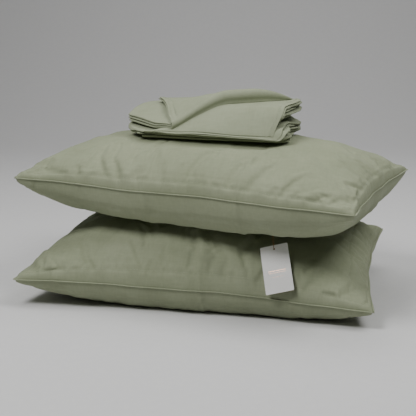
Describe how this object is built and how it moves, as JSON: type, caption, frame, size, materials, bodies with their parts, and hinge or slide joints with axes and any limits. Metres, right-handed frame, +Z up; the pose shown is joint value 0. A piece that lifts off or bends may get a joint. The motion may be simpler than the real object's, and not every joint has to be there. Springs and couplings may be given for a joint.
{
  "type": "bedding set",
  "caption": "Folded duvet cover with a turned-back corner, resting on stacked filled pillows in matching cases, with a plain swing tag on a string.",
  "frame": {"origin": "centre of the base of the whole set's box, on the surface that it rests on", "axes": "+Z up, +X to the right along the lower pillow's front seam, +Y from the front towards the back"},
  "size_m": [0.8076, 0.6094, 0.4171],
  "materials": {
    "case_cloth": "matte",
    "seam_cloth": "matte",
    "cover_cloth": "matte",
    "ticking": "matte",
    "filling": "matte",
    "buttons": "satin",
    "tag_face": "matte",
    "tag_back": "matte",
    "string": "matte"
  },
  "bodies": {
    "lower_pillow": {"lower_case_top": "case_cloth", "lower_case_bottom": "case_cloth", "lower_front_seam": "seam_cloth", "lower_back_seam": "seam_cloth", "lower_end_seam": "seam_cloth", "lower_opening_hem": "seam_cloth", "lower_tuck_in_flap": "case_cloth", "lower_ticking_top": "ticking", "lower_ticking_bottom": "ticking", "lower_fibre_filling": "filling"},
    "upper_pillow": {"upper_case_top": "case_cloth", "upper_case_bottom": "case_cloth", "upper_front_seam": "seam_cloth", "upper_back_seam": "seam_cloth", "upper_end_seam": "seam_cloth", "upper_opening_hem": "seam_cloth", "upper_tuck_in_flap": "case_cloth", "upper_ticking_top": "ticking", "upper_ticking_bottom": "ticking", "upper_fibre_filling": "filling"},
    "folded_cover": {"cover_fold_1": "cover_cloth", "cover_fold_2": "cover_cloth", "cover_fold_3": "cover_cloth", "cover_fold_4": "cover_cloth", "cover_fold_5": "cover_cloth", "cover_side_hem": "cover_cloth", "cover_buttons": "buttons", "cover_corner_ties": "cover_cloth"},
    "turned_corner": {"cover_turned_corner": "cover_cloth"},
    "tag_string": {"tag_string": "string", "tag_knot": "string"},
    "swing_tag": {"tag_front_card": "tag_face", "tag_back_card": "tag_back"}
  },
  "joints": [
    {"name": "upper_pillow_lift", "type": "slide", "parent": "lower_pillow", "child": "upper_pillow", "axis": [0, 0, 1], "range_m": [0, 0.25]},
    {"name": "cover_lift", "type": "slide", "parent": "upper_pillow", "child": "folded_cover", "axis": [0, 0, 1], "range_m": [0, 0.25]},
    {"name": "corner_fold", "type": "hinge", "parent": "folded_cover", "child": "turned_corner", "pos_m": [-0.0826, -0.0665, 0.37], "axis": [0.8202, 0.5586, 0.1237], "range_deg": [0, 60]},
    {"name": "tag_lift", "type": "hinge", "parent": "lower_pillow", "child": "tag_string", "pos_m": [0.1427, -0.1546, 0.1513], "axis": [-1, 0, 0], "range_deg": [0, 18]},
    {"name": "tag_swing", "type": "hinge", "parent": "tag_string", "child": "swing_tag", "pos_m": [0.15041, -0.19323, 0.13446], "axis": [-0.1121, -0.7861, 0.6078], "range_deg": [-10, 12]}
  ]
}
